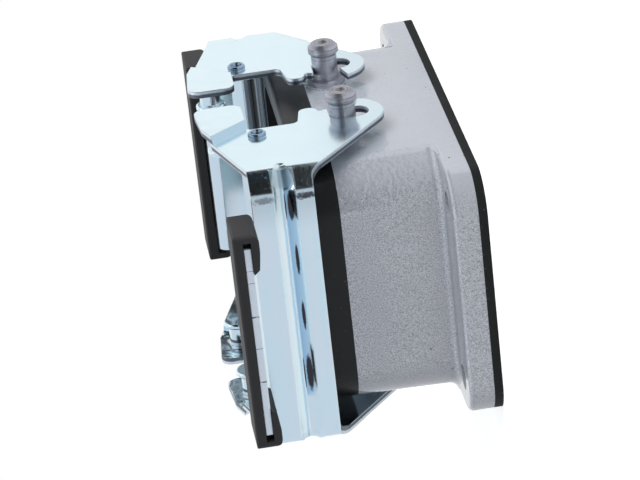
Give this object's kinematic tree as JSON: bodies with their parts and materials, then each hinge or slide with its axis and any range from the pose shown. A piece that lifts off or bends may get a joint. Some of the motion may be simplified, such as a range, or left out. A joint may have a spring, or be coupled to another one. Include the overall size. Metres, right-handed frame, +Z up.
{
  "type": "connector housing",
  "caption": "Panel-mount housing for a heavy-duty rectangular connector: flanged cast body with rim seal, flange gasket and hinged sheet-steel locking levers with plastic grips.",
  "frame": {"origin": "middle of the flange gasket's underside, where the housing meets the panel", "axes": "+X along the flange towards the right lever, +Y across the flange, +Z up from the panel towards the mating side"},
  "size_m": [0.0874, 0.059, 0.0438],
  "materials": {
    "coated_casting": "fine-grained grey powder coat on a die casting",
    "seal_rubber": "smooth black rubber",
    "gasket_rubber": "matt dark grey rubber sheet",
    "pin_steel": "turned grey steel",
    "plated_sheet": "bright zinc-plated sheet steel",
    "grip_plastic": "matt black moulded plastic"
  },
  "bodies": {
    "housing": {"housing_body": "coated_casting", "rim_seal": "seal_rubber", "flange_gasket": "gasket_rubber", "pivot_pin_right_front": "pin_steel", "pivot_pin_right_rear": "pin_steel", "pivot_pin_left_front": "pin_steel", "pivot_pin_left_rear": "pin_steel"},
    "lever_right": {"locking_lever_right": "plated_sheet", "lever_grip_right": "grip_plastic"},
    "lever_left": {"locking_lever_left": "plated_sheet", "lever_grip_left": "grip_plastic"}
  },
  "joints": [
    {"name": "lever_right_hinge", "type": "hinge", "parent": "housing", "child": "lever_right", "pos_m": [0.0115, 0, 0.01905], "axis": [0, 1, 0], "range_deg": [-6, 45]},
    {"name": "lever_left_hinge", "type": "hinge", "parent": "housing", "child": "lever_left", "pos_m": [-0.0115, 0, 0.01905], "axis": [0, -1, 0], "range_deg": [-6, 45]}
  ]
}
